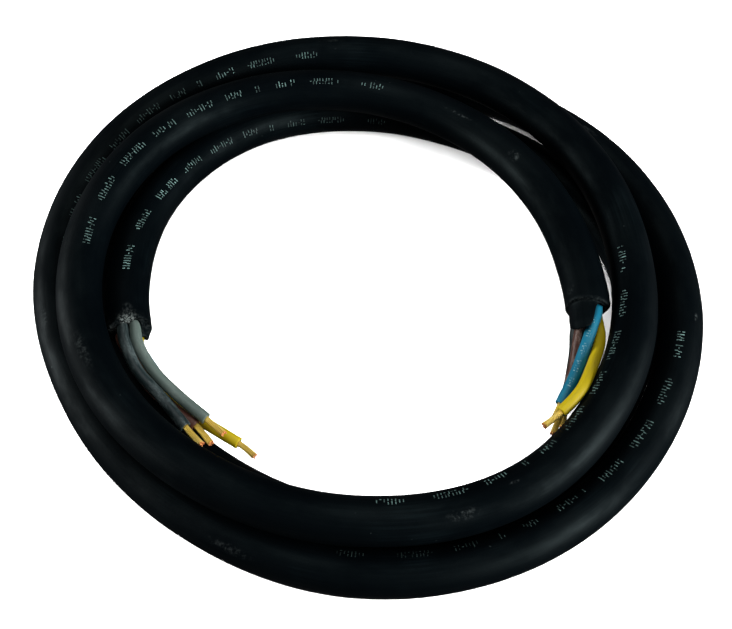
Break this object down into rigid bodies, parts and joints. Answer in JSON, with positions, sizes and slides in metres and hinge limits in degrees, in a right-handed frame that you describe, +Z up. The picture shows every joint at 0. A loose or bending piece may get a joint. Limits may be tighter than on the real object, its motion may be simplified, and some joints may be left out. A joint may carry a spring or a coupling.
{
  "type": "coiled flexible cable",
  "caption": "Cut length of round rubber-sheathed multicore power cable, coiled flat in two layers, both ends stripped to bare stranded copper.",
  "frame": {"origin": "bottom centre of the coil's box, on the surface it lies on", "axes": "+Z up out of the flat coil, -Y towards the side that both stripped ends point to, +X to the right"},
  "size_m": [0.2317, 0.222, 0.0362],
  "materials": {
    "sheath_rubber": "matte black rubber, dusted with talc in places",
    "filler": "matte, dusty",
    "copper": "bright fine-stranded copper",
    "insulation_green_yellow": "satin green-yellow core insulation",
    "insulation_blue": "satin blue core insulation",
    "insulation_brown": "satin brown core insulation",
    "insulation_black": "satin black core insulation",
    "insulation_grey": "satin grey core insulation"
  },
  "bodies": {
    "root": {"sheath": "sheath_rubber", "centre_filler": "filler", "insulation_green_yellow": "insulation_green_yellow", "conductor_green_yellow": "copper", "insulation_blue": "insulation_blue", "conductor_blue": "copper", "insulation_brown": "insulation_brown", "conductor_brown": "copper", "insulation_black": "insulation_black", "conductor_black": "copper", "insulation_grey": "insulation_grey", "conductor_grey": "copper"}
  },
  "joints": []
}
